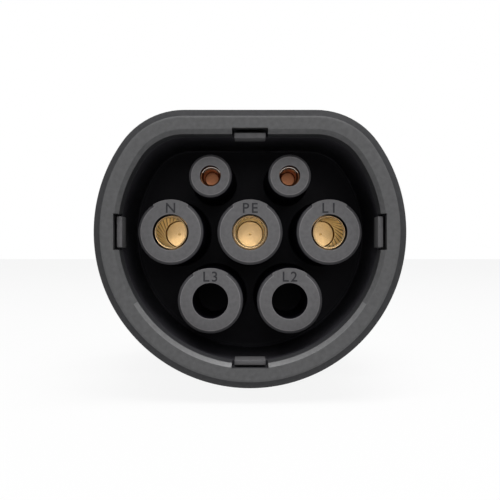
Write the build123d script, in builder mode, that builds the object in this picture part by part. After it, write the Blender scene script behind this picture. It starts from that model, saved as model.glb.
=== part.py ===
from build123d import *
from math import atan, cos, pi, radians, sin, sqrt

# Single-phase vehicle connector for AC charging, seven-way D face, all sizes in millimetres.
# Origin: axis of the earth contact, in the plane of the front rim. +X right and +Z up as seen
# by someone facing the contacts; +Y runs back from the rim to the cable gland.

# --- Contact layout ---
contact_pitch = 16.0            # between neighbouring power contacts
signal_spread = 8.0             # CP and PP sit this far each side of the middle
signal_height = 11.36           # and this far above the earth contact
pin_radius = 3.0                # power pins of the car's inlet
signal_pin_radius = 1.5         # pilot pins of the car's inlet

# --- Collar ---
collar_radius = 31.0
collar_flat = 24.2              # height of the flat top above the axis
collar_corner = 15.0
collar_length = 42.0            # front rim to the handle
rim_bevel = 1.6
mouth_chamfer = 0.9
mouth_wall = 4.95               # outside of the collar to its mouth
lip_depth = 6.5                 # the lip in front of the insert
bore_wall = 3.8                 # wall round the insert
tail_length = 6.0               # flange held inside the handle
groove_depth = 2.0              # groove that the handle halves close on
notch_width = 7.1
notch_depth = 0.85              # in the round of the mouth
top_notch_depth = 1.2           # in its flat
pocket_width = 8.0              # locking pocket in the flat top
pocket_length = 9.0
pocket_depth = 2.4
pocket_start = 19.0

# --- Insert ---
slip_gap = 0.05                 # radial gap of parts pushed together
tower_depth = 5.0               # rim to tower faces
tower_height = 25.0             # tower faces to floor
floor_thickness = 4.0
tower_radius = 6.6
signal_tower_radius = 4.33
tower_chamfer = 0.5
label_arc = 65.0                # part of the tower rim left square, above the bore
guide_radius = 3.6
guide_length = 3.0
guide_taper_length = 0.4
blind_skin = 2.1                # closes the two bores that have no contact
signal_guide_radius = 2.1
signal_guide_length = 4.0
sleeve_back_wall = 1.6
socket_length = 4.0             # behind the floor
socket_wall = 1.3
flange_set_in = 0.4             # insert flange inside the collar's outline
flange_thickness = 2.5
seal_thickness = 1.5
tongue_width = 6.2
tongue_thickness = 1.05
tongue_proud = 0.6              # inside the mouth wall
tongue_front = 2.0              # tongue tip behind the rim
tongue_back = 8.5

# --- Contacts ---
slat_count = 24
slat_width = 0.44
slat_thickness = 0.12
slat_twist = 34.0               # degrees from one ring to the other
cage_length = 18.6
cage_ring_length = 1.4
waist_gap = 0.02                # waist of the cage round the pin
contact_wall = 1.05
contact_bore_depth = 20.8
collar_step = 0.9               # shoulder that seats the contact
contact_collar_length = 3.0
barrel_radius = 3.9
barrel_length = 20.0
barrel_bore_radius = 2.6
barrel_bore_depth = 12.0
signal_bore_gap = 0.05
signal_wall = 0.95
signal_mouth_chamfer = 0.4
signal_bore_depth = 18.0
signal_slit = 0.35
signal_slit_length = 10.0
signal_barrel_radius = 2.0
signal_barrel_bore_radius = 1.3
signal_barrel_bore_depth = 8.0
signal_barrel_length = 12.0

# --- Lock plate and its screws ---
plate_thickness = 3.0
plate_gap = 0.2
barrel_gap = 0.1
lock_boss_radius = 2.8
lock_boss_drop = 20.0           # lower boss below the axis
lock_boss_side = 17.0           # upper bosses each side
lock_boss_rise = 10.0
lock_shank_radius = 1.2
lock_head_radius = 2.4
lock_head_height = 1.6
lock_bite = 3.4                 # thread length in the boss

# --- Insert screws ---
insert_shank_radius = 1.1
insert_head_radius = 1.8
insert_head_height = 1.5
insert_bite = 4.6
insert_screw_side = 11.0        # the two in the flat top
insert_screw_turn = 45.0        # the two below, each side of straight down

# --- Coding resistor ---
resistor_radius = 1.2
resistor_length = 4.6
resistor_lead_radius = 0.3
resistor_stand_off = 3.0        # behind the lock plate

# --- Handle ---
handle_step = 3.0               # handle shoulder outside the collar
handle_length = 108.0
handle_wall = 2.6
front_wall = 3.0
rear_wall = 3.0
shoulder_length = 18.0
shoulder_top_corner = 20.6
shoulder_base_corner = 28.0
waist_place = 72.0              # behind the handle's front face
waist_half_width = 22.5
waist_top = 13.0
waist_lift = 4.0                # finger hollow under the waist
heel_half_width = 24.0
heel_top = 14.0
grip_corner = 15.0
grip_base_corner = 13.0
throat_rings = 4                # sections from the shoulder to the waist
heel_rings = 2                  # and from there to the heel
cut_gap = 0.1                   # handle halves round the collar and the gland

# --- Handle screws ---
screw_boss_radius = 3.2
screw_shank_radius = 1.25
screw_clear_radius = 1.6
screw_head_radius = 2.5
screw_head_height = 2.4
screw_head_gap = 0.2
screw_seat = 6.0                # head seat from the joint of the halves
screw_bite = 11.0
front_screw_place = 25.0        # behind the handle's front face
rear_screw_place = 93.0
screw_inset = 7.0               # screw axis from the grip's top and base

# --- Cord clamp ---
cord_radius = 6.5
clamp_place = 80.0              # behind the handle's front face
clamp_length = 10.0
clamp_wall = 2.4
clamp_post_radius = 3.0
clamp_post_gap = 2.0
clamp_shank_radius = 1.1
clamp_head_radius = 2.1
clamp_head_height = 1.5
clamp_bite = 7.0

# --- Gland ---
gland_neck_radius = 12.0
gland_flange_step = 2.6
gland_flange_length = 4.0
gasket_thickness = 1.2
gasket_width = 3.4
gland_hex_flats = 30.0
gland_hex_length = 4.0
gland_thread_length = 14.0
gland_bore_radius = 9.0
gland_seat_radius = 10.4
gland_seat_depth = 11.0
cage_wall = 1.3
cage_fingers = 10
cage_slot = 1.6
cage_hub = 3.0
gland_cage_length = 13.0
cord_squeeze = 0.1              # seal bore over the cord
gland_seal_length = 9.0
nut_wall = 3.2
nut_gap = 0.6                   # nut behind the hexagon
nut_length = 24.0
nut_dome = 6.0                  # coned end of the nut
nut_ribs = 16
nut_rib_radius = 1.1
nut_mouth_gap = 0.8             # round the cord
nut_face = 3.0

# --- Worked out from the sizes above ---
row_drop = contact_pitch * sqrt(3) / 2
power_places = {"n": (-contact_pitch, 0), "pe": (0, 0), "l1": (contact_pitch, 0)}
empty_places = [(-contact_pitch / 2, -row_drop), (contact_pitch / 2, -row_drop)]
signal_places = {"cp": (-signal_spread, signal_height), "pp": (signal_spread, signal_height)}

floor_y = tower_depth + tower_height
floor_back = floor_y + floor_thickness
socket_back = floor_back + socket_length
shroud_back = collar_length + front_wall + tail_length
seal_back = shroud_back + seal_thickness
insert_back = seal_back + flange_thickness

half_twist = radians(slat_twist / 2)
cage_radius = (pin_radius + waist_gap + slat_thickness / 2) / cos(half_twist)
cage_reach = cage_radius + slat_thickness / 2 * cos(half_twist) + slat_width / 2 * sin(half_twist)
contact_bore_radius = cage_reach + slip_gap
contact_radius = contact_bore_radius + contact_wall
contact_front = tower_depth + guide_length + guide_taper_length
contact_collar_radius = contact_radius + collar_step
contact_back = socket_back + barrel_length

signal_bore_radius = signal_pin_radius + signal_bore_gap
signal_radius = signal_bore_radius + signal_wall
signal_front = tower_depth + signal_guide_length
signal_collar_radius = signal_radius + collar_step
signal_back = socket_back + signal_barrel_length

plate_back = socket_back + plate_thickness
sleeve_inset = bore_wall + slip_gap
sleeve_back_inset = sleeve_inset + sleeve_back_wall
lock_places = [(0, -lock_boss_drop), (-lock_boss_side, lock_boss_rise), (lock_boss_side, lock_boss_rise)]
mid_wall = collar_radius - bore_wall / 2
low_screw_x = mid_wall * sin(radians(insert_screw_turn))
low_screw_z = -mid_wall * cos(radians(insert_screw_turn))
insert_screw_places = [
    (-insert_screw_side, collar_flat - bore_wall / 2),
    (insert_screw_side, collar_flat - bore_wall / 2),
    (-low_screw_x, low_screw_z),
    (low_screw_x, low_screw_z),
]

handle_back = collar_length + handle_length
shoulder_half_width = collar_radius + handle_step
shoulder_top = collar_flat + handle_step
base_z = -collar_radius - handle_step
gland_z = (heel_top + base_z) / 2
core_front = collar_length + front_wall
core_back = handle_back - rear_wall


def station(y):
    """Plane across the connector, y behind the front rim."""
    return Plane.XZ.offset(-y)


def back_station(y):
    """The same plane seen from behind, with x reversed."""
    return Plane((0, y, 0), x_dir=(-1, 0, 0), z_dir=(0, 1, 0))


def flip(places):
    """Places across the connector as they are counted from behind."""
    return [(-x, z) for x, z in places]


def run_back(length, mode=Mode.ADD, shape=None):
    """Carry the sketch in hand, or the shape given, backwards by length."""
    extrude(shape, amount=-length, mode=mode)


def collar_shape(inset):
    """Outline of the collar, flat side up, set in from its outside."""
    radius = collar_radius - inset
    flat = collar_flat - inset
    with BuildSketch(Plane.XY, mode=Mode.PRIVATE) as outline:
        Circle(radius)
        with Locations((0, flat / 2 - radius)):
            Rectangle(4 * radius, flat + 2 * radius, mode=Mode.INTERSECT)
        fillet(outline.vertices().sort_by(Axis.Y)[-2:], collar_corner - inset)
    return outline.sketch


def collar_slab(y, length, inset, mode=Mode.ADD):
    """Slab of the collar's outline, set in by inset, from y backwards."""
    with BuildSketch(station(y)) as slab:
        add(collar_shape(inset))
    run_back(length, mode, slab.sketch)


def rod(places, y, length, radius, mode=Mode.ADD):
    """Round rods or holes along the connector, from y backwards."""
    with BuildSketch(station(y)) as ends:
        with Locations(*places):
            Circle(radius)
    run_back(length, mode, ends.sketch)


def socket_cuts(plane, places, across):
    """Hexagon sockets sunk into screw heads from a plane through the heads."""
    with BuildSketch(plane) as hexagons:
        with Locations(*places):
            RegularPolygon(across / 2, 6)
    extrude(hexagons.sketch, amount=across, mode=Mode.SUBTRACT)


def keep(piece, name):
    """Label a finished piece and write its file."""
    piece.part.label = name
    export_step(piece.part, f"parts/{name}.step")


# --- Collar: moulded shroud with a bevelled rim and four notches in its mouth ---
with BuildPart() as front_shroud:
    collar_slab(0, shroud_back, 0)
    chamfer(front_shroud.faces().sort_by(Axis.Y)[0].edges(), rim_bevel)
    collar_slab(0, shroud_back, mouth_wall, Mode.SUBTRACT)
    chamfer(front_shroud.faces().sort_by(Axis.Y)[0].inner_wires()[0].edges(), mouth_chamfer)
    collar_slab(lip_depth, shroud_back - lip_depth, bore_wall, Mode.SUBTRACT)
    with BuildSketch(station(0)):
        reach = 2 * (collar_radius - mouth_wall + notch_depth)
        Rectangle(reach, notch_width)
        Rectangle(notch_width, reach)
        with Locations((0, collar_radius)):
            clear_top = collar_radius - (collar_flat - mouth_wall + top_notch_depth)
            Rectangle(notch_width, 2 * clear_top, mode=Mode.SUBTRACT)
    run_back(lip_depth, Mode.SUBTRACT)
    with BuildSketch(station(collar_length - slip_gap)):
        add(collar_shape(-1))
        add(collar_shape(groove_depth), mode=Mode.SUBTRACT)
    run_back(front_wall + 2 * slip_gap, Mode.SUBTRACT)
    with BuildSketch(Plane.XY.offset(collar_flat)):
        with Locations((0, pocket_start + pocket_length / 2)):
            RectangleRounded(pocket_width, pocket_length, pocket_width / 8)
    extrude(amount=-pocket_depth, mode=Mode.SUBTRACT)
    rod(insert_screw_places, shroud_back - insert_bite, insert_bite, insert_shank_radius, Mode.SUBTRACT)
keep(front_shroud, "front_shroud")


# --- Insert: one moulding with the sleeve, floor, towers, rear sockets and latch tongues ---
def ease_tower(place, radius):
    """Chamfer round a tower face, stopping each side of the letter above the bore."""
    x, z = place
    across = radians(label_arc / 2)
    outward = (sin(across), 0, cos(across))
    with BuildSketch(Plane((x, 0, z), x_dir=outward, z_dir=(-cos(across), 0, sin(across)))) as corner:
        with BuildLine():
            Polyline(
                (radius - tower_chamfer, tower_depth),
                (radius + tower_chamfer, tower_depth),
                (radius + tower_chamfer, tower_depth + 2 * tower_chamfer),
                close=True,
            )
        make_face()
    tower_axis = Axis((x, 0, z), (0, 1, 0))
    revolve(corner.sketch, axis=tower_axis, revolution_arc=360 - label_arc, mode=Mode.SUBTRACT)


big_places = list(power_places.values()) + empty_places
wired_places = list(power_places.values())
small_places = list(signal_places.values())

with BuildPart() as contact_insert:
    collar_slab(lip_depth, insert_back - lip_depth, sleeve_inset)
    collar_slab(seal_back, flange_thickness, flange_set_in)
    collar_slab(lip_depth, floor_y - lip_depth, mouth_wall, Mode.SUBTRACT)
    collar_slab(floor_back, insert_back - floor_back, sleeve_back_inset, Mode.SUBTRACT)
    rod(big_places, tower_depth, tower_height, tower_radius)
    rod(small_places, tower_depth, tower_height, signal_tower_radius)
    rod(wired_places, floor_back, socket_length, contact_collar_radius + slip_gap + socket_wall)
    rod(small_places, floor_back, socket_length, signal_collar_radius + slip_gap + socket_wall)
    rod(lock_places, floor_back, socket_length, lock_boss_radius)
    for place in big_places:
        ease_tower(place, tower_radius)
    # Latch tongues in the mouth's notches: left, right, bottom and top
    tongue_centre = collar_radius - mouth_wall - tongue_proud + tongue_thickness / 2
    top_centre = collar_flat - mouth_wall - tongue_proud + tongue_thickness / 2
    with BuildSketch(station(tongue_front)):
        with Locations((-tongue_centre, 0), (tongue_centre, 0)):
            Rectangle(tongue_thickness, tongue_width)
        with Locations((0, -tongue_centre), (0, top_centre)):
            Rectangle(tongue_width, tongue_thickness)
    run_back(tongue_back - tongue_front)
    # Bores: guide, taper, contact seat and collar seat
    rod(wired_places, tower_depth, guide_length, guide_radius, Mode.SUBTRACT)
    for x, z in wired_places:
        with BuildSketch(station(tower_depth + guide_length)):
            with Locations((x, z)):
                Circle(guide_radius)
        with BuildSketch(station(contact_front)):
            with Locations((x, z)):
                Circle(contact_bore_radius)
        loft(mode=Mode.SUBTRACT)
    rod(wired_places, contact_front, socket_back - contact_front, contact_radius + slip_gap, Mode.SUBTRACT)
    collar_seat = socket_back - contact_collar_length
    rod(wired_places, collar_seat, contact_collar_length, contact_collar_radius + slip_gap, Mode.SUBTRACT)
    rod(empty_places, tower_depth, floor_back - blind_skin - tower_depth, guide_radius, Mode.SUBTRACT)
    rod(small_places, tower_depth, signal_guide_length, signal_guide_radius, Mode.SUBTRACT)
    rod(small_places, signal_front, socket_back - signal_front, signal_radius + slip_gap, Mode.SUBTRACT)
    rod(small_places, collar_seat, contact_collar_length, signal_collar_radius + slip_gap, Mode.SUBTRACT)
    rod(lock_places, socket_back - lock_bite, lock_bite, lock_shank_radius, Mode.SUBTRACT)
    rod(insert_screw_places, seal_back, flange_thickness, insert_shank_radius + slip_gap, Mode.SUBTRACT)
keep(contact_insert, "contact_insert")


# --- Power contact: turned brass tube with a blind bore, shoulder and crimp barrel ---
with BuildPart() as power_contact:
    bore_end = contact_front + contact_bore_depth
    with BuildSketch(Plane.XY):
        with BuildLine():
            Polyline(
                (contact_bore_radius, contact_front),
                (contact_radius, contact_front),
                (contact_radius, socket_back - contact_collar_length),
                (contact_collar_radius, socket_back - contact_collar_length),
                (contact_collar_radius, socket_back),
                (barrel_radius, socket_back),
                (barrel_radius, contact_back),
                (barrel_bore_radius, contact_back),
                (barrel_bore_radius, contact_back - barrel_bore_depth),
                (0, contact_back - barrel_bore_depth),
                (0, bore_end),
                (contact_bore_radius, bore_end),
                close=True,
            )
        make_face()
    revolve(axis=Axis.Y)

# --- Crown spring: two rings joined by slanted slats that pinch to a waist round the pin ---
with BuildPart() as spring_cage:
    cage_front = contact_front + slip_gap
    cage_back = cage_front + cage_length
    for ring_front in (cage_front, cage_back - cage_ring_length):
        with BuildSketch(station(ring_front)):
            RegularPolygon(cage_reach, slat_count)
            RegularPolygon(cage_radius - slat_thickness / 2, slat_count, mode=Mode.SUBTRACT)
        run_back(cage_ring_length)
    # The slat is a straight strip; leaning it over is what draws the cage in at the middle
    half_free = cage_length / 2 - cage_ring_length / 2
    lean = atan(cage_radius * sin(half_twist) / half_free)
    strip_length = 2 * half_free / cos(lean)
    waist_radius = cage_radius * cos(half_twist)
    middle = cage_front + cage_length / 2
    for turn in range(slat_count):
        angle = 2 * pi * turn / slat_count
        outward = Vector(sin(angle), 0, cos(angle))
        sideways = Vector(cos(angle), 0, -sin(angle))
        along = Vector(0, 1, 0) * cos(lean) - sideways * sin(lean)
        strip_plane = Plane(
            outward * waist_radius + Vector(0, middle, 0) - along * (strip_length / 2),
            x_dir=outward,
            z_dir=along,
        )
        with BuildSketch(strip_plane):
            Rectangle(slat_thickness, slat_width)
        extrude(amount=strip_length)

for name, (x, z) in power_places.items():
    with BuildPart() as contact_copy:
        with Locations((x, 0, z)):
            add(power_contact.part)
    keep(contact_copy, f"power_contact_{name}")
    with BuildPart() as cage_copy:
        with Locations((x, 0, z)):
            add(spring_cage.part)
    keep(cage_copy, f"spring_cage_{name}")

# --- Pilot contact: slit copper-alloy tube with a shoulder and a small crimp barrel ---
with BuildPart() as signal_contact:
    with BuildSketch(Plane.XY):
        with BuildLine():
            Polyline(
                (signal_bore_radius + signal_mouth_chamfer, signal_front),
                (signal_radius, signal_front),
                (signal_radius, socket_back - contact_collar_length),
                (signal_collar_radius, socket_back - contact_collar_length),
                (signal_collar_radius, socket_back),
                (signal_barrel_radius, socket_back),
                (signal_barrel_radius, signal_back),
                (signal_barrel_bore_radius, signal_back),
                (signal_barrel_bore_radius, signal_back - signal_barrel_bore_depth),
                (0, signal_back - signal_barrel_bore_depth),
                (0, signal_front + signal_bore_depth),
                (signal_bore_radius, signal_front + signal_bore_depth),
                (signal_bore_radius, signal_front + signal_mouth_chamfer),
                close=True,
            )
        make_face()
    revolve(axis=Axis.Y)
    with BuildSketch(station(signal_front)):
        Rectangle(4 * signal_radius, signal_slit)
    run_back(signal_slit_length, Mode.SUBTRACT)

for name, (x, z) in signal_places.items():
    with BuildPart() as signal_copy:
        with Locations((x, 0, z)):
            add(signal_contact.part)
    keep(signal_copy, f"signal_contact_{name}")

# --- Lock plate: D plate that traps the contact shoulders, and its three screws ---
with BuildPart() as contact_lock_plate:
    collar_slab(socket_back, plate_thickness, sleeve_back_inset + plate_gap)
    rod(wired_places, socket_back, plate_thickness, barrel_radius + barrel_gap, Mode.SUBTRACT)
    rod(small_places, socket_back, plate_thickness, signal_barrel_radius + barrel_gap, Mode.SUBTRACT)
    rod(lock_places, socket_back, plate_thickness, lock_shank_radius + barrel_gap, Mode.SUBTRACT)
keep(contact_lock_plate, "contact_lock_plate")

with BuildPart() as lock_screws:
    rod(lock_places, socket_back - lock_bite, lock_bite + plate_thickness, lock_shank_radius)
    rod(lock_places, plate_back, lock_head_height, lock_head_radius)
    socket_cuts(back_station(plate_back + lock_head_height / 2), flip(lock_places), lock_head_radius)
keep(lock_screws, "lock_screws")

# --- Insert seal: flat gasket between the collar and the insert flange, and its four screws ---
with BuildPart() as insert_seal:
    collar_slab(shroud_back, seal_thickness, flange_set_in)
    collar_slab(shroud_back, seal_thickness, bore_wall, Mode.SUBTRACT)
    rod(insert_screw_places, shroud_back, seal_thickness, insert_shank_radius + slip_gap, Mode.SUBTRACT)
keep(insert_seal, "insert_seal")

with BuildPart() as insert_screws:
    shank_start = shroud_back - insert_bite
    rod(insert_screw_places, shank_start, insert_back - shank_start, insert_shank_radius)
    rod(insert_screw_places, insert_back, insert_head_height, insert_head_radius)
    half_sunk = back_station(insert_back + insert_head_height / 2)
    socket_cuts(half_sunk, flip(insert_screw_places), insert_head_radius)
keep(insert_screws, "insert_screws")

# --- Coding resistor: soldered between the pilot and earth barrels behind the lock plate ---
with BuildPart() as coding_resistor:
    pilot_x, pilot_z = signal_places["pp"]
    span = sqrt(pilot_x**2 + pilot_z**2)
    toward = Vector(pilot_x, 0, pilot_z) / span
    lead_length = span - barrel_radius - signal_barrel_radius
    lead_start = Vector(0, plate_back + resistor_stand_off, 0) + toward * barrel_radius
    with BuildSketch(Plane(lead_start, z_dir=toward)):
        Circle(resistor_lead_radius)
    extrude(amount=lead_length)
    body_start = lead_start + toward * ((lead_length - resistor_length) / 2)
    with BuildSketch(Plane(body_start, z_dir=toward)):
        Circle(resistor_radius)
    extrude(amount=resistor_length)
    with Locations(Plane(lead_start - toward * barrel_radius, z_dir=(0, 1, 0))):
        Cylinder(barrel_radius, 4 * resistor_radius, mode=Mode.SUBTRACT)
keep(coding_resistor, "coding_resistor")


# --- Handle: two moulded halves that close on the collar's groove and the gland's neck ---
def ease(start, end, share):
    """Value on a smooth S-curve from start to end."""
    return start + (end - start) * share * share * (3 - 2 * share)


def grip_form(inset):
    """Body of the grip: full shoulder, slim waist and flared heel, set in from its outside by inset."""
    shoulder = (shoulder_half_width, shoulder_top, 0, shoulder_top_corner, shoulder_base_corner)
    waist = (waist_half_width, waist_top, waist_lift, grip_corner, grip_base_corner)
    heel = (heel_half_width, heel_top, 0, grip_corner, grip_base_corner)
    shoulder_end = collar_length + shoulder_length
    waist_y = collar_length + waist_place
    sections = [(collar_length, shoulder)]
    for turn in range(throat_rings + 1):
        share = turn / throat_rings
        shape = [ease(a, b, share) for a, b in zip(shoulder, waist)]
        sections.append((shoulder_end + (waist_y - shoulder_end) * share, shape))
    for turn in range(1, heel_rings + 1):
        share = turn / heel_rings
        shape = [ease(a, b, share) for a, b in zip(waist, heel)]
        sections.append((waist_y + (handle_back - waist_y) * share, shape))
    rings = []
    for y, (half_width, top, lift, top_corner, base_corner) in sections:
        low = base_z + lift + inset
        high = top - inset
        with BuildSketch(station(y)) as ring:
            with Locations((0, (high + low) / 2)):
                Rectangle(2 * (half_width - inset), high - low)
            fillet(ring.vertices().group_by(Axis.Y)[-1], top_corner - inset)
            fillet(ring.vertices().group_by(Axis.Y)[0], base_corner - inset)
        rings.append(ring.sketch)
    with BuildPart() as form:
        loft(rings, ruled=True)
    return form.part


def cross_rod(places, start, length, radius, mode=Mode.ADD):
    """Rods or holes across the grip, from x = start towards +X."""
    with BuildSketch(Plane.YZ.offset(start)) as ends:
        with Locations(*places):
            Circle(radius)
    extrude(ends.sketch, amount=length, mode=mode)


front_screw_y = collar_length + front_screw_place
rear_screw_y = collar_length + rear_screw_place
handle_screw_places = [
    (front_screw_y, shoulder_top - screw_inset - screw_boss_radius),
    (front_screw_y, base_z + screw_inset),
    (rear_screw_y, heel_top - screw_inset - screw_boss_radius / 2),
    (rear_screw_y, base_z + screw_inset),
]
clamp_y = collar_length + clamp_place
clamp_post_reach = cord_radius + clamp_wall + clamp_post_gap + clamp_post_radius / 2
clamp_places = [(clamp_y, gland_z - clamp_post_reach), (clamp_y, gland_z + clamp_post_reach)]
half_span = 2 * shoulder_half_width
outer_form = grip_form(0)
inner_form = grip_form(handle_wall)

with BuildPart() as grip_core:
    add(inner_form)
    split(bisect_by=station(core_front), keep=Keep.BOTTOM)
    split(bisect_by=station(core_back), keep=Keep.TOP)


def handle_half(side):
    """One half of the handle: side is -1 for the left half and +1 for the right half."""
    with BuildPart() as half:
        add(outer_form)
        add(grip_core.part, mode=Mode.SUBTRACT)
        with BuildPart(mode=Mode.PRIVATE) as bosses:
            cross_rod(handle_screw_places, -half_span, 2 * half_span, screw_boss_radius)
            cross_rod(clamp_places, -half_span, half_span, clamp_post_radius)
            add(outer_form, mode=Mode.INTERSECT)
        add(bosses.part)
        collar_slab(collar_length, front_wall, groove_depth - cut_gap, Mode.SUBTRACT)
        rod([(0, gland_z)], core_back, rear_wall, gland_neck_radius + cut_gap, Mode.SUBTRACT)
        cross_rod(handle_screw_places, -screw_bite, screw_bite, screw_shank_radius, Mode.SUBTRACT)
        cross_rod(handle_screw_places, 0, screw_seat, screw_clear_radius, Mode.SUBTRACT)
        head_room = screw_head_radius + screw_head_gap
        cross_rod(handle_screw_places, screw_seat, half_span, head_room, Mode.SUBTRACT)
        cross_rod(clamp_places, -clamp_bite, clamp_bite, clamp_shank_radius, Mode.SUBTRACT)
        split(bisect_by=Plane.YZ, keep=Keep.TOP if side > 0 else Keep.BOTTOM)
    return half


handle_left = handle_half(-1)
keep(handle_left, "handle_left")
handle_right = handle_half(1)
keep(handle_right, "handle_right")

with BuildPart() as handle_screws:
    cross_rod(handle_screw_places, -screw_bite, screw_bite + screw_seat, screw_shank_radius)
    cross_rod(handle_screw_places, screw_seat, screw_head_height, screw_head_radius)
    socket_cuts(Plane.YZ.offset(screw_seat + screw_head_height / 2), handle_screw_places, screw_head_radius)
keep(handle_screws, "handle_screws")

# --- Cord clamp: arched saddle over the cord's place, screwed to two posts of the left half ---
with BuildPart() as cord_clamp:
    with BuildSketch(station(clamp_y - clamp_length / 2)):
        with Locations((0, gland_z)):
            Circle(cord_radius + clamp_wall)
            Rectangle(2 * clamp_wall, 2 * (clamp_post_reach + clamp_post_radius))
            Circle(cord_radius, mode=Mode.SUBTRACT)
        with Locations((-half_span / 2, gland_z)):
            Rectangle(half_span, half_span, mode=Mode.SUBTRACT)
    run_back(clamp_length)
    cross_rod(clamp_places, 0, clamp_wall, clamp_shank_radius + slip_gap, Mode.SUBTRACT)
keep(cord_clamp, "cord_clamp")

with BuildPart() as clamp_screws:
    cross_rod(clamp_places, -clamp_bite, clamp_bite + clamp_wall, clamp_shank_radius)
    cross_rod(clamp_places, clamp_wall, clamp_head_height, clamp_head_radius)
    socket_cuts(Plane.YZ.offset(clamp_wall + clamp_head_height / 2), clamp_places, clamp_head_radius)
keep(clamp_screws, "clamp_screws")

# --- Cable gland: body, gasket, claw cage, rubber seal and ribbed dome nut ---
gland_axis = [(0, gland_z)]
hex_front = handle_back + gasket_thickness
hex_back = hex_front + gland_hex_length
thread_back = hex_back + gland_thread_length
seat_front = thread_back - gland_seat_depth

with BuildPart() as gland_body:
    flange_radius = gland_neck_radius + gland_flange_step
    rod(gland_axis, core_back - gland_flange_length, gland_flange_length, flange_radius)
    rod(gland_axis, core_back, thread_back - core_back, gland_neck_radius)
    with BuildSketch(station(hex_front)):
        with Locations((0, gland_z)):
            RegularPolygon(gland_hex_flats / 2, 6, major_radius=False)
    run_back(gland_hex_length)
    rod(gland_axis, core_back - gland_flange_length, thread_back, gland_bore_radius, Mode.SUBTRACT)
    rod(gland_axis, seat_front, gland_seat_depth, gland_seat_radius, Mode.SUBTRACT)
keep(gland_body, "gland_body")

with BuildPart() as gland_gasket:
    rod(gland_axis, handle_back, gasket_thickness, gland_neck_radius + gasket_width)
    rod(gland_axis, handle_back, gasket_thickness, gland_neck_radius + slip_gap, Mode.SUBTRACT)
keep(gland_gasket, "gland_gasket")

cage_outer = gland_seat_radius - slip_gap
with BuildPart() as gland_cage:
    rod(gland_axis, seat_front, gland_cage_length, cage_outer)
    rod(gland_axis, seat_front, gland_cage_length, cage_outer - cage_wall, Mode.SUBTRACT)
    with BuildSketch(station(seat_front + cage_hub)):
        with Locations((0, gland_z)):
            with PolarLocations(0, cage_fingers):
                with Locations((cage_outer, 0)):
                    Rectangle(4 * cage_wall, cage_slot)
    run_back(gland_cage_length, Mode.SUBTRACT)
keep(gland_cage, "gland_cage")

with BuildPart() as gland_seal:
    rod(gland_axis, seat_front + slip_gap, gland_seal_length, cage_outer - cage_wall - slip_gap)
    rod(gland_axis, seat_front + slip_gap, gland_seal_length, cord_radius + cord_squeeze, Mode.SUBTRACT)
keep(gland_seal, "gland_seal")

nut_front = hex_back + nut_gap
nut_back = nut_front + nut_length
nut_radius = gland_neck_radius + nut_wall
mouth_radius = cord_radius + nut_mouth_gap
cage_room = seat_front + gland_cage_length + slip_gap
with BuildPart() as gland_nut:
    with BuildSketch(Plane.XY.offset(gland_z)):
        with BuildLine():
            straight = Line((gland_neck_radius + slip_gap, nut_front), (nut_radius, nut_front))
            wall = Line(straight @ 1, (nut_radius, nut_back - nut_dome))
            Polyline(
                wall @ 1,
                (mouth_radius + nut_wall / 2, nut_back),
                (mouth_radius, nut_back),
                (mouth_radius, nut_back - nut_face),
                (cage_outer + slip_gap, cage_room),
                (gland_neck_radius + slip_gap, thread_back),
                straight @ 0,
            )
        make_face()
    revolve(axis=Axis((0, 0, gland_z), (0, 1, 0)))
    with BuildSketch(station(nut_front + nut_rib_radius)):
        with Locations((0, gland_z)):
            with PolarLocations(nut_radius, nut_ribs):
                Circle(nut_rib_radius)
    run_back(nut_length - nut_dome - 2 * nut_rib_radius)
keep(gland_nut, "gland_nut")
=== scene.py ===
import bmesh
import bpy
from math import asin, atan2, cos, hypot, pi, radians, sin, sqrt
from mathutils import Matrix, Vector


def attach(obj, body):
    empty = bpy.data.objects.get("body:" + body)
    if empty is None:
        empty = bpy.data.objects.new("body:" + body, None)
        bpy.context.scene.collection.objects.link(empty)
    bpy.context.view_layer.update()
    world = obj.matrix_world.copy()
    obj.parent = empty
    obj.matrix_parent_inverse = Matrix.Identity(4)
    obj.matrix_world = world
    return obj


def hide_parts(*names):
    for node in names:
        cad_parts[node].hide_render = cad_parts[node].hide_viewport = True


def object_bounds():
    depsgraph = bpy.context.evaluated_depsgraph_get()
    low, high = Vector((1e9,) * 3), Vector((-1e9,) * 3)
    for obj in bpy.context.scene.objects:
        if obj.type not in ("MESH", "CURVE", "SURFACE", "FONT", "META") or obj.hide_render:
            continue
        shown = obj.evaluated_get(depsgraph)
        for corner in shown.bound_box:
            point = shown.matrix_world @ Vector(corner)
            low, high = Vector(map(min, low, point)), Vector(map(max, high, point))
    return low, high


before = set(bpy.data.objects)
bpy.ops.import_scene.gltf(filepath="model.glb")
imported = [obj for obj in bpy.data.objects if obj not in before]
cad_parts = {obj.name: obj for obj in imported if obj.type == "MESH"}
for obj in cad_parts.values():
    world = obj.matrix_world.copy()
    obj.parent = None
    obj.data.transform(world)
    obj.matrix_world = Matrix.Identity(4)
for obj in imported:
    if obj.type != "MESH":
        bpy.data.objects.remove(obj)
cad_bounds = [[float(value) for value in corner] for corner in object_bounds()]


# ---------------------------------------------------------------------------------------------
# Front collar. A thick-walled nylon moulding, round with a flat top, that goes into the car's
# inlet. Its rim is bevelled outside and chamfered inside, four notches in its mouth take the
# insert's latch tongues, and the flat top has a pocket for the car's locking pin.
mm = 0.001
collar_radius = 31.0
collar_flat = 24.2
collar_back = 51.0
corner_radius = 15.0
corner_z = collar_flat - corner_radius
corner_x = sqrt((collar_radius - corner_radius) ** 2 - corner_z ** 2)
corner_turn = atan2(corner_z, corner_x)
rim_bevel = 1.6
mouth_inset = 4.95
bore_inset = 3.8
lip_depth = 6.5
groove_front, groove_back, groove_depth = 42.0, 45.0, 2.0
notch_half = 3.55
round_notch = collar_radius - mouth_inset + 0.85
flat_notch = collar_flat - mouth_inset + 1.2


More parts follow.
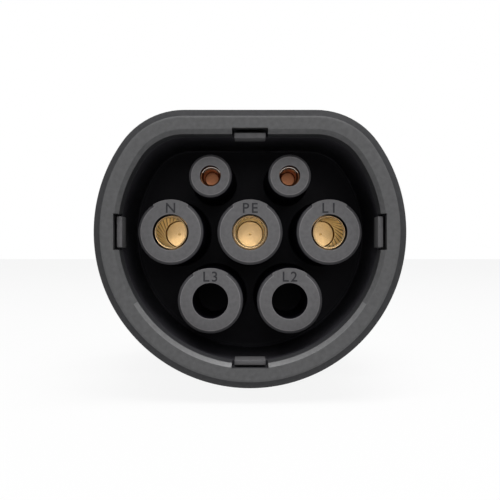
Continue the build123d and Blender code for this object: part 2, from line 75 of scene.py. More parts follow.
def collar_columns(step=1.2):
    """Points round the collar, each (x, z, outward x, outward z, name of its notch or None)."""
    notch_turn = asin(notch_half / (collar_radius - mouth_inset))
    stretches = [
        ("flat", 0.0, notch_half, "top"),
        ("flat", notch_half, corner_x, None),
        ("corner", pi / 2, corner_turn, None),
        ("round", corner_turn, notch_turn, None),
        ("round", notch_turn, -notch_turn, "right"),
        ("round", -notch_turn, notch_turn - pi / 2, None),
        ("round", notch_turn - pi / 2, -pi / 2, "bottom"),
    ]
    reach = {"flat": 1, "corner": corner_radius, "round": collar_radius}
    right_side = []
    for kind, start, stop, notch in stretches:
        length = abs(stop - start) * reach[kind]
        count = max(2, round(length / step))
        for number in range(count + 1):
            place = start + (stop - start) * number / count
            out_x, out_z = cos(place), sin(place)
            if kind == "flat":
                point = (place, collar_flat, 0.0, 1.0)
            elif kind == "corner":
                point = (corner_x + corner_radius * out_x, corner_z + corner_radius * out_z,
                         out_x, out_z)
            else:
                point = (collar_radius * out_x, collar_radius * out_z, out_x, out_z)
            right_side.append((*point, notch))
    left_side = [(-x, z, -out_x, out_z, "left" if notch == "right" else notch)
                 for x, z, out_x, out_z, notch in reversed(right_side)]
    return right_side + left_side


def collar_ring(inset, y, notched=False):
    """One closed line round the collar, set in by inset, y behind the rim."""
    line = []
    for x, z, out_x, out_z, notch in collar_columns():
        px, pz = x - inset * out_x, z - inset * out_z
        if notched and notch:
            wall_x = x - mouth_inset * out_x
            wall_z = z - mouth_inset * out_z
            px, pz = {"top": (wall_x, flat_notch), "bottom": (wall_x, -round_notch),
                      "right": (round_notch, wall_z), "left": (-round_notch, wall_z)}[notch]
        line.append(Vector((px, y, pz)) * mm)
    return line


def shade(data, mesh, smooth, merge):
    """Weld a bmesh, face it outwards, shade it soft up to an angle, and write it to mesh data."""
    bmesh.ops.remove_doubles(mesh, verts=mesh.verts, dist=merge * mm)
    bmesh.ops.dissolve_degenerate(mesh, edges=mesh.edges, dist=merge * mm)
    bmesh.ops.recalc_face_normals(mesh, faces=mesh.faces)
    for edge in mesh.edges:
        edge.smooth = edge.calc_face_angle(pi) < radians(smooth)
    for face in mesh.faces:
        face.smooth = True
    mesh.to_mesh(data)
    mesh.free()


def finish_mesh(name, mesh, smooth=32, merge=0.002):
    """Link a bmesh as an object, welded and shaded."""
    data = bpy.data.meshes.new(name)
    shade(data, mesh, smooth, merge)
    piece = bpy.data.objects.new(name, data)
    bpy.context.scene.collection.objects.link(piece)
    return piece


def skin(name, rings, loop=False, cap_start=False, cap_end=False, smooth=32):
    """Mesh object drawn over closed rings of equal count, with soft shading up to an angle."""
    mesh = bmesh.new()
    rows = [[mesh.verts.new(point) for point in ring] for ring in rings]
    pairs = list(zip(rows, rows[1:])) + ([(rows[-1], rows[0])] if loop else [])
    for near, far in pairs:
        for number in range(len(near)):
            after = (number + 1) % len(near)
            mesh.faces.new((near[number], near[after], far[after], far[number]))
    if cap_start:
        mesh.faces.new(rows[0])
    if cap_end:
        mesh.faces.new(rows[-1])
    return finish_mesh(name, mesh, smooth)


def cut(piece, cutter):
    """Cut one mesh out of another and throw the cutter away."""
    step = piece.modifiers.new("cut", "BOOLEAN")
    step.operation = "DIFFERENCE"
    step.solver = "EXACT"
    step.object = cutter
    bpy.context.view_layer.update()
    graph = bpy.context.evaluated_depsgraph_get()
    data = bpy.data.meshes.new_from_object(piece.evaluated_get(graph))
    piece.modifiers.clear()
    piece.data = data
    bpy.data.objects.remove(cutter)
    mesh = bmesh.new()
    mesh.from_mesh(data)
    shade(data, mesh, smooth=32, merge=0.0005)


def material(name, colour, roughness, grain=0.0, grain_size=0.15, metallic=0.0, mottle=0.12,
             specular=0.5):
    """Surface with a slightly uneven colour and roughness and a fine raised grain, sizes in mm."""
    cloud_size = 6 * grain_size * mm
    grain_height = grain_size * mm / 3
    made = bpy.data.materials.new(name)
    made.use_nodes = True
    nodes = made.node_tree.nodes
    links = made.node_tree.links
    shader = nodes["Principled BSDF"]
    shader.inputs["Metallic"].default_value = metallic
    shader.inputs["Specular IOR Level"].default_value = specular
    place = nodes.new("ShaderNodeTexCoord")
    cloud = nodes.new("ShaderNodeTexNoise")
    cloud.inputs["Scale"].default_value = 1 / cloud_size
    cloud.inputs["Detail"].default_value = 4
    links.new(place.outputs["Object"], cloud.inputs["Vector"])
    tint = nodes.new("ShaderNodeValToRGB")
    dark, light = tint.color_ramp.elements
    dark.position, light.position = 0.3, 0.7
    dark.color = [value * (1 - mottle) for value in colour] + [1]
    light.color = [value * (1 + mottle) for value in colour] + [1]
    links.new(cloud.outputs["Fac"], tint.inputs["Fac"])
    links.new(tint.outputs["Color"], shader.inputs["Base Color"])
    gloss = nodes.new("ShaderNodeMapRange")
    gloss.inputs["To Min"].default_value = roughness * 0.9
    gloss.inputs["To Max"].default_value = min(1.0, roughness * 1.1)
    links.new(cloud.outputs["Fac"], gloss.inputs["Value"])
    links.new(gloss.outputs["Result"], shader.inputs["Roughness"])
    if grain:
        pits = nodes.new("ShaderNodeTexNoise")
        pits.inputs["Scale"].default_value = 1 / (grain_size * mm)
        pits.inputs["Detail"].default_value = 3
        links.new(place.outputs["Object"], pits.inputs["Vector"])
        bump = nodes.new("ShaderNodeBump")
        bump.inputs["Strength"].default_value = grain
        bump.inputs["Distance"].default_value = grain_height
        links.new(pits.outputs["Fac"], bump.inputs["Height"])
        links.new(bump.outputs["Normal"], shader.inputs["Normal"])
    return made


def fit(piece, finish, slot, *nodes):
    """Give a piece its material, hang it under the root body, and hide the CAD pieces it stands in
    for.
    """
    piece.data.materials.clear()
    piece.data.materials.append(finish)
    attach(piece, "root")
    if nodes:
        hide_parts(*nodes)


# Section of the wall, as inset from the outside and depth behind the rim. The bevel's two edges
# are eased alike, each point a little along one face and past the corner.
eased_edge = [(0.0, 0.25), (0.06, 0.02), (0.18, -0.18)]
outside_profile = [
    (0.0, collar_back), (0.0, groove_back), (groove_depth, groove_back),
    (groove_depth, groove_front), (0.0, groove_front), (0.0, rim_bevel + 0.5),
]
outside_profile += [(along, rim_bevel + past) for along, past in eased_edge]
outside_profile += [(rim_bevel + past, along) for along, past in reversed(eased_edge)]
outside_profile += [(rim_bevel + 0.35, 0.0)]
chamfer_profile = [
    (1.05, 0.0), (0.95, 0.0), (0.87, 0.03), (0.81, 0.09), (0.13, 0.77), (0.07, 0.84),
    (0.02, 0.93), (0.0, 1.05), (0.0, 1.2), (0.0, lip_depth),
]
mouth_profile = [(mouth_inset - outward, y) for outward, y in chamfer_profile]
bore_profile = [(bore_inset, lip_depth), (bore_inset, collar_back)]
collar = skin(
    "front_shroud_moulding",
    [collar_ring(inset, y) for inset, y in outside_profile]
    + [collar_ring(inset, y, notched=True) for inset, y in mouth_profile]
    + [collar_ring(inset, y) for inset, y in bore_profile],
    loop=True,
)

# Pocket for the locking pin, with round corners and an eased bottom
pocket_width, pocket_length, pocket_depth = 8.0, 9.0, 2.4
pocket_front = 19.0
pocket_corner, pocket_ease = 1.0, 0.3
pocket_levels = [(-1.0, 0.25), (0.0, 0.0), (pocket_depth - pocket_ease, 0.0),
                 (pocket_depth, -pocket_ease)]
pocket_rings = []
for depth, grow in pocket_levels:
    ring = []
    for quarter, (side, end) in enumerate(((1, 1), (-1, 1), (-1, -1), (1, -1))):
        centre_x = side * (pocket_width / 2 - pocket_corner)
        centre_y = pocket_front + pocket_length / 2 + end * (pocket_length / 2 - pocket_corner)
        for number in range(7):
            turn = pi / 2 * (quarter + number / 6)
            ring.append(Vector((centre_x + (pocket_corner + grow) * cos(turn),
                                centre_y + (pocket_corner + grow) * sin(turn),
                                collar_flat - depth)) * mm)
    pocket_rings.append(ring)
cut(collar, skin("cutter", pocket_rings, cap_start=True, cap_end=True))

# Dry grain outside. The bevel and the mouth are smoother and coloured darker, as painted shade,
# and the lower chamfer is coloured lighter, as a painted highlight
collar_plastic = material("collar_nylon", (0.087, 0.087, 0.089), 0.56, grain=0.5,
                          grain_size=0.16, specular=0.18)
collar_painted_highlight = material("collar_nylon_painted_highlight", (0.135, 0.135, 0.137), 0.35, grain=0.3,
                         specular=0.4)
collar_bevel_painted_shade = material("collar_nylon_bevel_painted_shade", (0.042, 0.042, 0.044), 0.5, grain=0.3,
                        specular=0.05)
collar_mouth_painted_shade = material("collar_nylon_mouth_painted_shade", (0.04, 0.04, 0.043), 0.5, grain=0.3, specular=0.2)
fit(collar, collar_plastic, "collar_plastic", "front_shroud")
for finish in (collar_painted_highlight, collar_bevel_painted_shade, collar_mouth_painted_shade):
    collar.data.materials.append(finish)
painted_highlight_slot, bevel_shade_slot, mouth_shade_slot = 1, 2, 3
highlight_below_z = -14.0
# The outer bevel and the mouth's wall take the darker colours as painted shade, and the inner
# chamfer low on the collar takes the lighter one as a painted highlight
for face in collar.data.polygons:
    outward = face.normal.x * face.center.x + face.normal.z * face.center.z > 0
    sloped = -0.85 < face.normal.y < -0.5
    if sloped and 0.05 * mm < face.center.y < rim_bevel * mm:
        if outward:
            face.material_index = bevel_shade_slot
        elif face.center.z < highlight_below_z * mm:
            face.material_index = painted_highlight_slot
    elif 0.95 * mm < face.center.y < lip_depth * mm and not outward:
        face.material_index = mouth_shade_slot


# ---------------------------------------------------------------------------------------------
# Contact insert. One nylon moulding pushed into the collar from behind: a smooth sleeve, a floor,
# and seven towers that shroud the contacts so that no finger can touch them. Four latch tongues
# reach forward from the sleeve into the notches of the collar. Its darkness in the cavity is
# painted shade: the sleeve, the floor and the towers' sides and bores are coloured far darker than
# the faces.
floor_depth = 30.0
floor_thickness = 4.0
sleeve_back = 55.0
flange_thickness = 2.5
tower_front = 5.0
pitch = 16.0
row_drop = pitch * sqrt(3) / 2
wired = {"n": (-pitch, 0.0), "pe": (0.0, 0.0), "l1": (pitch, 0.0)}
empty = {"l3": (-pitch / 2, -row_drop), "l2": (pitch / 2, -row_drop)}
pilots = {"cp": (-8.0, 11.36), "pp": (8.0, 11.36)}

sleeve_profile = [
    (5.45, floor_depth + floor_thickness), (5.45, sleeve_back), (0.4, sleeve_back),
    (0.4, sleeve_back - flange_thickness), (bore_inset + 0.05, sleeve_back - flange_thickness),
    (bore_inset + 0.05, lip_depth + 0.1), (mouth_inset - 0.1, lip_depth + 0.1),
    (mouth_inset, lip_depth + 0.2), (mouth_inset + 0.03, lip_depth + 0.35),
    (5.18, floor_depth - 0.7), (5.3, floor_depth - 0.3), (5.6, floor_depth - 0.05),
    (5.9, floor_depth), (6.2, floor_depth),
]
insert_grained = material("insert_nylon_grained", (0.102, 0.1, 0.104), 0.62, grain=0.35,
                          grain_size=0.14, specular=0.25)
insert_polished_painted_shade = material("insert_nylon_polished_painted_shade", (0.0065, 0.006, 0.009), 0.45, grain=0.15,
                           grain_size=0.4, specular=0.07)
insert_drawn_painted_shade = material("insert_nylon_drawn_painted_shade", (0.03, 0.029, 0.034), 0.5, grain=0.2,
                        grain_size=0.4, specular=0.12)
insert_eased_painted_shade = material("insert_nylon_eased_painted_shade", (0.055, 0.054, 0.058), 0.55, grain=0.2,
                        specular=0.2)
insert_painted_highlight = material("insert_nylon_painted_highlight", (0.15, 0.145, 0.15), 0.5, grain=0.2,
                         specular=0.3)
# The sleeve's wall is coloured dark and its floor darker still, as painted shade in the cavity
sleeve = skin("insert_sleeve", [collar_ring(inset, y) for inset, y in sleeve_profile],
              cap_start=True, cap_end=True)
fit(sleeve, insert_drawn_painted_shade, "insert_plastic", "contact_insert")
sleeve.data.materials.append(insert_polished_painted_shade)
floor_shade_slot = 1
for face in sleeve.data.polygons:
    if face.normal.y < -0.9 and face.center.y > (floor_depth - 0.1) * mm:
        face.material_index = floor_shade_slot

label_half_turn = radians(32.5)


def lathe(name, place, profile, labelled=None, count=96, smooth=32):
    """Turned shape about a contact's axis. Profile points are (radius, y behind the rim).
    Labelled gives other points for the arc above the bore, where the face runs to the edge."""
    columns = [(2 * pi * number / count, False) for number in range(count)]
    if labelled:
        columns = [(turn, False) for turn, _ in columns
                   if label_half_turn <= turn <= 2 * pi - label_half_turn]
        arc = count // 4
        columns += [((number / arc - 0.5) * 2 * label_half_turn, True)
                    for number in range(arc + 1)]
    x, z = place
    rings = []
    for number, plain_point in enumerate(profile):
        ring = []
        for turn, in_label in columns:
            radius, y = labelled[number] if in_label else plain_point
            ring.append(Vector((x + radius * sin(turn), y, z + radius * cos(turn))) * mm)
        rings.append(ring)
    return skin(name, rings, cap_start=profile[0][0] > 0, cap_end=profile[-1][0] > 0,
                smooth=smooth)


def tower(name, place, top_radius, base_radius, bore, chamfer, labelled):
    """One tower: bore, eased lip, flat face, chamfer, drafted side and the fillet at the floor.
    The face carries the grain. Its edges are coloured lighter as a painted highlight, and the
    chamfer darker as painted shade. The sides and the bore are smoother and far darker, as painted
    shade."""
    lip = bore[-1][0]
    inside = bore + [
        (lip, tower_front + 0.14), (lip + 0.05, tower_front + 0.04), (lip + 0.14, tower_front),
        (lip + 0.2, tower_front), (top_radius - chamfer - 0.16, tower_front),
    ]
    chamfered_edge = [
        (top_radius - chamfer, tower_front + 0.05), (top_radius - 0.03, tower_front + chamfer),
        (top_radius + 0.01, tower_front + chamfer + 0.1),
    ]
    square_edge = [
        (top_radius - 0.06, tower_front), (top_radius - 0.01, tower_front + 0.04),
        (top_radius, tower_front + 0.1),
    ]
    foot = [
        (base_radius - 0.02, floor_depth - 0.7), (base_radius + 0.1, floor_depth - 0.25),
        (base_radius + 0.4, floor_depth),
    ]
    piece = lathe(name, place, inside + chamfered_edge + foot,
                  inside + square_edge + foot if labelled else None)
    fit(piece, insert_polished_painted_shade, "insert_plastic", "contact_insert")
    for finish in (insert_grained, insert_painted_highlight, insert_eased_painted_shade):
        piece.data.materials.append(finish)
    grained_slot, painted_highlight_slot, chamfer_shade_slot = 1, 2, 3
    # Face edges get a painted highlight. The chamfer gets painted shade, and so do the sides and
    # bore, which keep the first finish
    for face in piece.data.polygons:
        if face.center.y < (tower_front + 0.012) * mm:
            face.material_index = grained_slot
        elif face.center.y < (tower_front + 0.06) * mm:
            face.material_index = painted_highlight_slot
        elif face.center.y < (tower_front + chamfer * 0.7) * mm:
            face.material_index = chamfer_shade_slot


# Each bore from its far end to its lip: the wired ones narrow to a guide for the pin, and the
# empty ones are blind
tower_top, tower_base, tower_chamfer = 6.6, 6.9, 0.5
seat_radius, guide_radius, guide_back = 4.5, 3.62, 11.0
blind_radius, blind_end = 3.6, floor_depth - 0.1
pilot_top, pilot_base, pilot_chamfer = 4.33, 4.6, 0.45
pilot_seat_radius, pilot_guide_radius, pilot_guide_back = 2.6, 2.1, 9.0
guided_bore = [(seat_radius, floor_depth), (seat_radius, guide_back),
               (guide_radius, guide_back), (guide_radius, guide_back - 0.1)]
blind_bore = [(0.0, blind_end), (blind_radius, blind_end)]
pilot_bore = [(pilot_seat_radius, floor_depth), (pilot_seat_radius, pilot_guide_back),
              (pilot_guide_radius, pilot_guide_back),
              (pilot_guide_radius, pilot_guide_back - 0.1)]
for name, place in wired.items():
    tower(f"insert_tower_{name}", place, tower_top, tower_base, guided_bore, tower_chamfer,
          labelled=True)
for name, place in empty.items():
    tower(f"insert_tower_{name}", place, tower_top, tower_base, blind_bore, tower_chamfer,
          labelled=True)
for name, place in pilots.items():
    tower(f"insert_tower_{name}", place, pilot_top, pilot_base, pilot_bore, pilot_chamfer,
          labelled=False)

# Latch tongues, a little proud of the mouth's wall
tongue_width, tongue_thickness, tongue_length = 6.2, 1.05, 6.5
tongue_middle = 5.25
tongue_ease = 0.14
round_tongue = collar_radius - mouth_inset - 0.125
flat_tongue = collar_flat - mouth_inset - 0.075
upright, lying = (tongue_thickness, tongue_width), (tongue_width, tongue_thickness)
tongue_places = {
    "left": ((-round_tongue, 0.0), upright),
    "right": ((round_tongue, 0.0), upright),
    "bottom": ((0.0, -round_tongue), lying),
    "top": ((0.0, flat_tongue), lying),
}
for name, ((x, z), (width, height)) in tongue_places.items():
    mesh = bmesh.new()
    size = Vector((width, tongue_length, height)) * mm
    bmesh.ops.create_cube(mesh, size=1.0,
                          matrix=Matrix.Translation(Vector((x, tongue_middle, z)) * mm)
                          @ Matrix.Diagonal((*size, 1)))
    bmesh.ops.bevel(mesh, geom=mesh.edges[:], offset=tongue_ease * mm, segments=3,
                    affect="EDGES", profile=0.5)
    tongue = finish_mesh(f"latch_tongue_{name}", mesh, 40, merge=0.0005)
    fit(tongue, insert_grained, "insert_plastic", "contact_insert")

# Terminal marks, moulded into the faces above the bores and a hair proud of them, coloured dark as
# painted shade in place of the shade of their relief
mark_height, mark_weight, mark_relief = 2.85, 0.035, 0.012
mark_spacing = 1.25
mark_lift = 3.92
mark_places = {"N": wired["n"], "PE": wired["pe"], "L1": wired["l1"], "L3": empty["l3"],
               "L2": empty["l2"]}
mark_painted_shade = material("terminal_mark", (0.022, 0.022, 0.025), 0.6, grain=0.2, specular=0.2)
for words, (x, z) in mark_places.items():
    line = bpy.data.curves.new(f"mark_{words}", "FONT")
    line.body = words
    line.size = mark_height * mm
    line.align_x = "CENTER"
    line.offset = mark_weight * mm
    line.extrude = mark_relief * mm
    line.space_character = mark_spacing
    mark = bpy.data.objects.new(f"terminal_mark_{words}", line)
    bpy.context.scene.collection.objects.link(mark)
    mark.rotation_euler = (pi / 2, 0, 0)
    mark.location = Vector((x, tower_front - mark_relief, z + mark_lift)) * mm
    fit(mark, mark_painted_shade, "insert_plastic")


# ---------------------------------------------------------------------------------------------
# Power contacts. Brass tubes turned on a lathe, blind in front and with a crimp barrel behind,
# held by a shoulder between the insert and the lock plate. The end of the bore keeps the bright
# brass, and its wall, behind the spring, is coloured much darker as painted shade in the gaps
# between the slats.
contact_front, contact_bore_end = 5.86, 29.2
contact_bore, contact_nose, contact_body = 3.12, 3.27, 4.4
contact_flange, flange_front, flange_back = 5.3, 35.0, 38.0
barrel_radius, barrel_back = 3.9, 58.0
crimp_radius, crimp_front = 2.6, 46.0
contact_end = [(0.0, 0.07), (0.1, 0.06), (0.25, 0.0), (0.3, 0.0), (2.7, 0.0), (2.8, 0.0),
               (3.0, -0.2), (contact_bore, -0.8)]
contact_lip = [(contact_bore, 0.89), (3.02, 0.69), (3.02, 0.39), (3.08, 0.14), (3.16, 0.01),
               (3.22, 0.0), (contact_nose, 0.06)]
contact_profile = [(radius, contact_bore_end + past) for radius, past in contact_end]
contact_profile += [(radius, contact_front + behind) for radius, behind in contact_lip]
contact_profile += [
    (contact_nose, guide_back + 0.05), (contact_body, guide_back + 0.1),
    (contact_body, flange_front), (contact_flange, flange_front), (contact_flange, flange_back),
    (barrel_radius, flange_back), (barrel_radius, barrel_back), (crimp_radius, barrel_back),
    (crimp_radius, crimp_front), (0.0, crimp_front),
]
gold_brass = material("bright_brass", (0.72, 0.49, 0.26), 0.25, grain=0.05, grain_size=0.3,
                      metallic=1.0, mottle=0.06)
brass_painted_shade = material("brass_painted_shade", (0.09, 0.045, 0.012), 0.3, grain=0.1, grain_size=0.1,
                      metallic=1.0)
wall_shade_slot = 1
for name, place in wired.items():
    contact = lathe(f"contact_tube_{name}", place, contact_profile, smooth=40)
    fit(contact, gold_brass, "contact_metal", f"power_contact_{name}")
    contact.data.materials.append(brass_painted_shade)
    # The bore's wall behind the spring gets painted shade
    for face in contact.data.polygons:
        from_axis = hypot(face.center.x / mm - place[0], face.center.z / mm - place[1])
        if 3.05 < from_axis < 3.2 and 6.5 < face.center.y / mm < 28.6:
            face.material_index = wall_shade_slot


# ---------------------------------------------------------------------------------------------
# Crown springs. Gold-plated sheet, slit into slanted slats between two rings and rolled into a
# tube; the twist draws the slats in to a waist, so each one presses on the pin along its length.
slat_count = 24
slat_half_width = 0.265
slat_thickness = 0.08
slat_steps = 14
ring_radius = 3.06
ring_half_thickness = 0.05
ring_length = 0.5
ring_steps = 72
twist = radians(-36)
cage_front, cage_back = 6.62, 27.6
spring_gold = material("spring_gold", (1.0, 0.9, 0.6), 0.32, grain=0.05, grain_size=0.08,
                       metallic=1.0, mottle=0.02)


def slat(mesh, x, z, middle_turn):
    """One closed bar, straight from ring to ring, its flat side always towards the axis."""
    turns = (middle_turn - twist / 2, middle_turn + twist / 2)
    ends = (cage_front + ring_length / 2, cage_back - ring_length / 2)
    first, last = [Vector((x + ring_radius * sin(turn), y, z + ring_radius * cos(turn)))
                   for turn, y in zip(turns, ends)]
    rows = []
    for step in range(slat_steps + 1):
        point = first.lerp(last, step / slat_steps)
        out = Vector((point.x - x, 0, point.z - z)).normalized()
        across = Vector((out.z, 0, -out.x)) * slat_half_width
        rows.append([
            mesh.verts.new((point + across * side + out * face * slat_thickness / 2) * mm)
            for side, face in ((-1, -1), (1, -1), (1, 1), (-1, 1))
        ])
    for near, far in zip(rows, rows[1:]):
        for corner in range(4):
            after = (corner + 1) % 4
            mesh.faces.new((near[corner], near[after], far[after], far[corner]))
    mesh.faces.new(rows[0])
    mesh.faces.new(rows[-1])


def spring_ring(mesh, x, z, front):
    """One closed ring of square section."""
    inner, outer = ring_radius - ring_half_thickness, ring_radius + ring_half_thickness
    section = [(inner, front), (outer, front), (outer, front + ring_length),
               (inner, front + ring_length)]
    turns = [2 * pi * number / ring_steps for number in range(ring_steps)]
    rows = [[mesh.verts.new(Vector((x + radius * sin(turn), y, z + radius * cos(turn))) * mm)
             for turn in turns] for radius, y in section]
    for near, far in zip(rows, rows[1:] + rows[:1]):
        for number in range(ring_steps):
            after = (number + 1) % ring_steps
            mesh.faces.new((near[number], near[after], far[after], far[number]))


for name, (x, z) in wired.items():
    mesh = bmesh.new()
    for number in range(slat_count):
        slat(mesh, x, z, 2 * pi * number / slat_count)
    for front in (cage_front, cage_back - ring_length):
        spring_ring(mesh, x, z, front)
    spring = finish_mesh(f"crown_spring_{name}", mesh, 30, merge=0.0001)
    fit(spring, spring_gold, "spring_metal", f"spring_cage_{name}")


# ---------------------------------------------------------------------------------------------
# Pilot contacts. Small copper-alloy tubes, slit at the mouth so that they grip a 3 mm pin, left
# unplated and darkened. A chamfered lip leads the pin in, and the upper part of its chamfer is
# coloured near white as a painted highlight.
pilot_front, pilot_bore_end = pilot_guide_back, 15.0
pilot_bore_radius, pilot_body = 1.55, 2.5
pilot_flange, pilot_barrel, pilot_crimp = 3.4, 2.0, 1.3
pilot_back, pilot_crimp_front = 50.0, 42.0
pilot_profile = [
    (0.0, pilot_bore_end), (pilot_bore_radius - 0.2, pilot_bore_end),
    (pilot_bore_radius, pilot_bore_end - 0.2), (pilot_bore_radius, pilot_front + 0.5),
    (pilot_bore_radius + 0.03, pilot_front + 0.4), (1.95, pilot_front + 0.05),
    (2.05, pilot_front), (pilot_body, pilot_front), (pilot_body, flange_front),
    (pilot_flange, flange_front), (pilot_flange, flange_back), (pilot_barrel, flange_back),
    (pilot_barrel, pilot_back), (pilot_crimp, pilot_back), (pilot_crimp, pilot_crimp_front),
    (0.0, pilot_crimp_front),
]
dark_copper = material("darkened_copper", (0.23, 0.105, 0.055), 0.4, grain=0.12, grain_size=0.1,
                       metallic=1.0)
copper_bore = material("copper_bore", (0.85, 0.52, 0.34), 0.35, grain=0.1, grain_size=0.1,
                       metallic=1.0)
copper_painted_highlight = material("copper_painted_highlight", (0.86, 0.8, 0.74), 0.25, grain=0.05, grain_size=0.1,
                         metallic=1.0)
bore_slot, lip_highlight_slot = 1, 2
for name, place in pilots.items():
    pilot = lathe(f"pilot_tube_{name}", place, pilot_profile, count=64, smooth=40)
    fit(pilot, dark_copper, "pilot_metal", f"signal_contact_{name}")
    pilot.data.materials.append(copper_bore)
    pilot.data.materials.append(copper_painted_highlight)
    # The upper part of the lip chamfer gets a near-white painted highlight
    for face in pilot.data.polygons:
        side_x, side_z = face.center.x / mm - place[0], face.center.z / mm - place[1]
        from_axis, depth = hypot(side_x, side_z), face.center.y / mm
        if 1.4 < from_axis < 1.56 and depth < 14.9:
            face.material_index = bore_slot
        elif 1.56 < from_axis < 2.0 and depth < 9.5 and side_z > 0.5 * from_axis:
            face.material_index = lip_highlight_slot


# ---------------------------------------------------------------------------------------------
# Grip. Two nylon half shells with the collar's dry grain, screwed together along the middle. A
# full shoulder steps out round the collar and holds it by its groove; the body narrows to a
# waist, hollowed below for the fingers, and flares again at the heel round the gland.
grip_front, grip_back = 42.0, 150.0
shoulder_back, waist_y = 60.0, 114.0
# Half width, top, lift of the base, top corner and base corner
shoulder = (34.0, 27.2, 0.0, 20.6, 28.0)
waist = (22.5, 13.0, 4.0, 15.0, 13.0)
heel = (24.0, 14.0, 0.0, 15.0, 13.0)
base_z = -34.0
parting_half, parting_depth = 0.35, 0.22
grip_plastic = material("grip_nylon", (0.07, 0.07, 0.072), 0.6, grain=0.7, grain_size=0.3,
                        specular=0.3)


def grip_section(y):
    """Half width, top, lift of the base, top corner and base corner of the grip at y."""
    if y <= shoulder_back:
        return shoulder
    ends = (shoulder, waist) if y < waist_y else (waist, heel)
    first, last = (shoulder_back, waist_y) if y < waist_y else (waist_y, grip_back)
    share = (y - first) / (last - first)
    ease = share * share * (3 - 2 * share)
    return tuple(a + (b - a) * ease for a, b in zip(*ends))


def grip_ring(y, inset, side, corner_steps=12):
    """Closed line round one half of the grip: from top to base, then back up the joint."""
    half, top, lift, top_corner, base_corner = grip_section(y)
    half, top, low = half - inset, top - inset, base_z + lift + inset
    top_corner, base_corner = top_corner - inset, base_corner - inset
    groove = 0.0 if inset else parting_depth
    line = [(0.0, top - groove), (parting_half, top)]
    for number in range(corner_steps + 1):
        turn = pi / 2 - pi / 2 * number / corner_steps
        line.append((half - top_corner + top_corner * cos(turn),
                     top - top_corner + top_corner * sin(turn)))
    for number in range(corner_steps + 1):
        turn = -pi / 2 * number / corner_steps
        line.append((half - base_corner + base_corner * cos(turn),
                     low + base_corner + base_corner * sin(turn)))
    line += [(parting_half, low), (0.0, low + groove)]
    return [Vector((side * x, y, z)) * mm for x, z in line]


def cross_cylinder(x_start, x_end, y, z, radius, count=40):
    """Plain cylinder across the grip, for holes."""
    turns = [2 * pi * number / count for number in range(count)]
    rings = [[Vector((x, y + radius * cos(turn), z + radius * sin(turn))) * mm
              for turn in turns] for x in (x_start, x_end)]
    return skin("cutter", rings, cap_start=True, cap_end=True)


end_round, end_step = 0.6, 0.25
body_steps = 54
body_length = grip_back - grip_front - 2 * end_round
hollow_front, hollow_length, hollow_steps = 45.0, 102.0, 24
grip_wall = 2.6
past_joint = 0.5
groove_clearance = 0.1
neck_radius = 12.1
gland_z = -10.0
recess_radius, recess_start, recess_end = 2.7, 6.0, 60.0
screw_places = [(67.0, 17.0), (67.0, -27.0), (135.0, 5.4), (135.0, -27.0)]
stations = [grip_front, grip_front + end_step]
stations += [grip_front + end_round + body_length * number / body_steps
             for number in range(body_steps + 1)]
stations += [grip_back - end_step, grip_back]
for side, hand in ((-1, "left"), (1, "right")):
    rings = []
    for y in stations:
        edge = max(0.0, end_round - min(y - grip_front, grip_back - y))
        rings.append(grip_ring(y, edge ** 2 / end_round, side))
    half = skin(f"grip_{hand}", rings, cap_start=True, cap_end=True)
    hollow = skin("cutter",
                  [grip_ring(hollow_front + hollow_length * number / hollow_steps, grip_wall, side)
                   for number in range(hollow_steps + 1)],
                  cap_start=True, cap_end=True)
    hollow.data.transform(Matrix.Translation(Vector((-side * past_joint, 0, 0)) * mm))
    cut(half, hollow)
    cut(half, skin("cutter", [collar_ring(groove_depth - groove_clearance, y)
                              for y in (grip_front - 1.0, groove_back + 0.5)],
                   cap_start=True, cap_end=True))
    cut(half, lathe("cutter", (0.0, gland_z),
                    [(neck_radius, grip_back - 4.0), (neck_radius, grip_back + 1.0)], count=72))
    if side > 0:
        for y, z in screw_places:
            cut(half, cross_cylinder(recess_start, recess_end, y, z, recess_radius))
    fit(half, grip_plastic, "grip_plastic", f"handle_{hand}")


# ---------------------------------------------------------------------------------------------
# Cable gland. Black nylon body with a hexagon and a thread, clamped through the heel of the grip
# with a rubber gasket; a claw cage and a rubber seal inside it, closed by a ribbed nut.
def dress(finish, *nodes):
    """Put a finish on CAD pieces that stay as they are."""
    for node in nodes:
        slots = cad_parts[node].data.materials
        slots.clear()
        slots.append(finish)


gland_plastic = material("gland_nylon", (0.03, 0.03, 0.032), 0.42, grain=0.25, grain_size=0.25,
                         specular=0.35)
cage_plastic = material("cage_nylon", (0.12, 0.12, 0.115), 0.5, grain=0.15, grain_size=0.3)
seal_rubber = material("seal_rubber", (0.014, 0.014, 0.015), 0.75, grain=0.4, grain_size=0.12,
                       specular=0.25)
dress(gland_plastic, "gland_body", "gland_nut")
dress(cage_plastic, "gland_cage")
dress(seal_rubber, "gland_gasket", "gland_seal", "insert_seal")


# ---------------------------------------------------------------------------------------------
# Inside and fixings. Screws of plated steel with hexagon sockets; a plate of glass-filled nylon
# that locks the contacts; a moulded saddle for the cord; and the coding resistor, a lacquered
# cylinder soldered between two contacts.
screw_steel = material("plated_steel", (0.5, 0.5, 0.49), 0.3, grain=0.2, grain_size=0.15,
                       metallic=1.0)
plate_nylon = material("glass_filled_nylon", (0.05, 0.05, 0.052), 0.6, grain=0.5,
                       grain_size=0.12)
resistor_lacquer = material("resistor_lacquer", (0.45, 0.36, 0.22), 0.35, grain=0.15,
                            grain_size=0.2)
dress(screw_steel, "lock_screws", "insert_screws", "handle_screws", "clamp_screws")
dress(plate_nylon, "contact_lock_plate", "cord_clamp")
dress(resistor_lacquer, "coding_resistor")


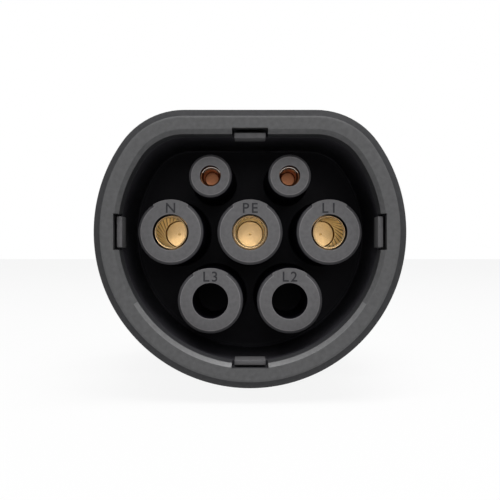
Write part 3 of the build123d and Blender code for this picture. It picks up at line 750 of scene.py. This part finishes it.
# ---------------------------------------------------------------------------------------------
# Floor, light and camera. The plug lies on the undersides of its shoulder and heel on a pale
# board, lit softly from above, with a white wall behind. Sizes here are in metres.
def seen_directly(tree):
    """Socket that is 1 for rays from the eye, off a gloss or through glass, and 0 for others."""
    path = tree.nodes.new("ShaderNodeLightPath")
    seen = path.outputs["Is Camera Ray"]
    for kind in ("Is Glossy Ray", "Is Transmission Ray"):
        either = tree.nodes.new("ShaderNodeMath")
        either.operation = "MAXIMUM"
        tree.links.new(seen, either.inputs[0])
        tree.links.new(path.outputs[kind], either.inputs[1])
        seen = either.outputs[0]
    return seen


def white_board(name, colour, share):
    """Pale matt surface that also shows as white to the eye, and still takes a shadow."""
    made = bpy.data.materials.new(name)
    made.use_nodes = True
    tree = made.node_tree
    shader = tree.nodes["Principled BSDF"]
    shader.inputs["Base Color"].default_value = (*colour, 1)
    shader.inputs["Roughness"].default_value = 0.9
    glow = tree.nodes.new("ShaderNodeEmission")
    weight = tree.nodes.new("ShaderNodeMath")
    weight.operation = "MULTIPLY"
    weight.inputs[1].default_value = share
    tree.links.new(seen_directly(tree), weight.inputs[0])
    blend = tree.nodes.new("ShaderNodeMixShader")
    tree.links.new(weight.outputs[0], blend.inputs["Fac"])
    tree.links.new(shader.outputs["BSDF"], blend.inputs[1])
    tree.links.new(glow.outputs["Emission"], blend.inputs[2])
    tree.links.new(blend.outputs["Shader"], tree.nodes["Material Output"].inputs["Surface"])
    return made


floor_z = cad_bounds[0][2]
floor_reach = 3
floor_data = bpy.data.meshes.new("floor")
floor_data.from_pydata([(x * floor_reach, y * floor_reach, floor_z)
                        for x, y in ((-1, -1), (1, -1), (1, 1), (-1, 1))], [], [(0, 1, 2, 3)])
floor_data.materials.append(white_board("floor_board", (0.88, 0.88, 0.88), 0.9))
floor = bpy.data.objects.new("floor", floor_data)
bpy.context.scene.collection.objects.link(floor)

fill_strength, wall_strength = 0.1, 1.0
world = bpy.data.worlds.new("studio")
bpy.context.scene.world = world
world.use_nodes = True
sky = world.node_tree.nodes["Background"]
sky.inputs["Color"].default_value = (1, 1, 1, 1)
strength = world.node_tree.nodes.new("ShaderNodeMapRange")
strength.inputs["To Min"].default_value = fill_strength
strength.inputs["To Max"].default_value = wall_strength
world.node_tree.links.new(seen_directly(world.node_tree), strength.inputs["Value"])
world.node_tree.links.new(strength.outputs["Result"], sky.inputs["Strength"])


def lamp(name, place, width, height, power):
    """Soft rectangular lamp, in metres and watts, aimed at the middle of the rim."""
    data = bpy.data.lights.new(name, "AREA")
    data.shape = "RECTANGLE"
    data.size, data.size_y, data.energy = width, height, power
    light = bpy.data.objects.new(name, data)
    bpy.context.scene.collection.objects.link(light)
    light.location = place
    light.rotation_euler = (-Vector(place)).to_track_quat("-Z", "Y").to_euler()


lamp("top_softbox", (0.06, -0.48, 0.8), width=0.9, height=0.45, power=5.9)
lamp("overhead_strip", (0.1, -0.12, 0.95), width=0.8, height=0.12, power=4.5)
lamp("front_panel", (0.1, -1.05, 0.3), width=0.5, height=0.4, power=1.9)

camera_distance, camera_z = 0.187, -0.00359
camera_data = bpy.data.cameras.new("camera")
camera_data.sensor_width = 36
camera_data.lens = 68.6
camera_data.clip_start = 0.01
camera = bpy.data.objects.new("camera", camera_data)
bpy.context.scene.collection.objects.link(camera)
camera.location = (0, -camera_distance, camera_z)
camera.rotation_euler = (pi / 2, 0, 0)
bpy.context.scene.camera = camera
bpy.context.scene.view_settings.view_transform = "Standard"
